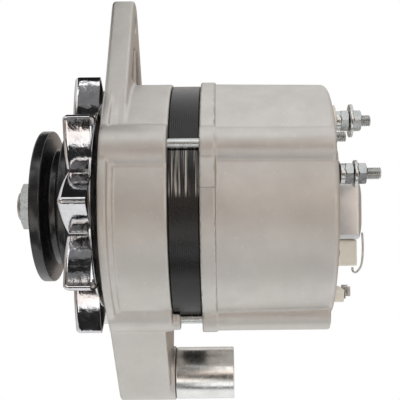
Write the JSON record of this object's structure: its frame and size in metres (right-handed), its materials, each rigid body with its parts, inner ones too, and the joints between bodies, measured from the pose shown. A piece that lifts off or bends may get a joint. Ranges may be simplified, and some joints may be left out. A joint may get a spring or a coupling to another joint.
{
  "type": "car alternator",
  "caption": "Car alternator with a cast front foot and strap ear, V-belt pulley, external scoop fan, bare laminated core and rear terminals with a bolted regulator.",
  "frame": {"origin": "on the axis of the pivot bolt, in the plane of the front bracket's front face", "axes": "+X along the rotor axis from the pulley to the rear terminals, +Z from the pivot up towards the strap ear"},
  "size_m": [0.1854, 0.1394, 0.2167],
  "materials": {
    "cast_aluminium": "pressure die cast, fine matt grain, warm silver grey",
    "core_steel": "laminated electrical steel, black varnish, scuffed",
    "copper_winding": "enamelled copper wire, varnished",
    "plated_steel": "zinc plated, bright, fine turned marks",
    "bearing_steel": "ground bright steel",
    "pole_steel": "forged steel, dark",
    "ring_copper": "turned copper",
    "chromed_steel": "pressed steel, bright plated, mirror like",
    "black_pulley_paint": "black lacquer, glossy",
    "plate_aluminium": "rolled sheet, satin",
    "black_plastic": "moulded",
    "cream_plastic": "moulded, glass filled",
    "black_rubber": "moulded",
    "brush_carbon": "pressed carbon",
    "grey_wire": "thin insulated lead"
  },
  "bodies": {
    "housing": {"front_bracket": "cast_aluminium", "rear_bracket": "cast_aluminium", "stator_core": "core_steel", "stator_winding": "copper_winding", "pivot_bush": "plated_steel", "through_bolt_1": "plated_steel", "through_bolt_2": "plated_steel", "through_bolt_3": "plated_steel", "through_bolt_4": "plated_steel", "bearing_retainer": "plated_steel", "b_plus_stud": "plated_steel", "b_plus_inner_nut": "plated_steel", "b_plus_washer": "plated_steel", "b_plus_outer_nut": "plated_steel", "d_plus_stud": "plated_steel", "d_plus_inner_nut": "plated_steel", "d_plus_washer": "plated_steel", "d_plus_outer_nut": "plated_steel", "w_stud": "plated_steel", "regulator_screw_1": "plated_steel", "regulator_screw_2": "plated_steel", "spade_terminal": "plated_steel", "front_bearing_outer_race": "bearing_steel", "rear_bearing_outer_race": "bearing_steel", "positive_diode_1": "bearing_steel", "positive_diode_2": "bearing_steel", "positive_diode_3": "bearing_steel", "negative_diode_1": "bearing_steel", "negative_diode_2": "bearing_steel", "negative_diode_3": "bearing_steel", "brush_spring_1": "bearing_steel", "brush_spring_2": "bearing_steel", "positive_heat_sink": "plate_aluminium", "negative_heat_sink": "plate_aluminium", "regulator_cover": "plate_aluminium", "exciter_diode_board": "black_plastic", "b_plus_insulator": "cream_plastic", "w_insulator": "cream_plastic", "brush_holder": "cream_plastic", "terminal_block": "cream_plastic", "d_plus_insulator": "black_rubber", "regulator_lead": "grey_wire"},
    "rotor": {"rotor_shaft": "bearing_steel", "front_claw_pole": "pole_steel", "rear_claw_pole": "pole_steel", "field_coil": "copper_winding", "slip_ring_sleeve": "black_plastic", "slip_ring_1": "ring_copper", "slip_ring_2": "ring_copper", "front_bearing_inner_race": "bearing_steel", "rear_bearing_inner_race": "bearing_steel", "fan_spacer": "bearing_steel", "fan": "chromed_steel", "pulley": "black_pulley_paint", "spring_washer": "plated_steel", "pulley_nut": "plated_steel"},
    "front_balls": {"front_ball_cage": "bearing_steel"},
    "rear_balls": {"rear_ball_cage": "bearing_steel"},
    "brush_1": {"brush_1": "brush_carbon"},
    "brush_2": {"brush_2": "brush_carbon"}
  },
  "joints": [
    {"name": "rotor_spin", "type": "hinge", "parent": "housing", "child": "rotor", "pos_m": [0, -0.0158, 0.0931], "axis": [1, 0, 0], "continuous": true},
    {"name": "front_balls_spin", "type": "hinge", "parent": "housing", "child": "front_balls", "pos_m": [0, -0.0158, 0.0931], "axis": [1, 0, 0], "continuous": true},
    {"name": "rear_balls_spin", "type": "hinge", "parent": "housing", "child": "rear_balls", "pos_m": [0, -0.0158, 0.0931], "axis": [1, 0, 0], "continuous": true},
    {"name": "brush_1_slide", "type": "slide", "parent": "housing", "child": "brush_1", "axis": [0, 0, -1], "range_m": [0, 0.0038], "stiffness_N_per_m": 200, "springref_m": -0.006, "deforming": ["brush_spring_1"]},
    {"name": "brush_2_slide", "type": "slide", "parent": "housing", "child": "brush_2", "axis": [0, 0, -1], "range_m": [0, 0.0038], "stiffness_N_per_m": 200, "springref_m": -0.006, "deforming": ["brush_spring_2"]}
  ],
  "couplings": [
    {"joint": "front_balls_spin", "follows": "rotor_spin", "ratio": 0.398},
    {"joint": "rear_balls_spin", "follows": "rotor_spin", "ratio": 0.391}
  ]
}
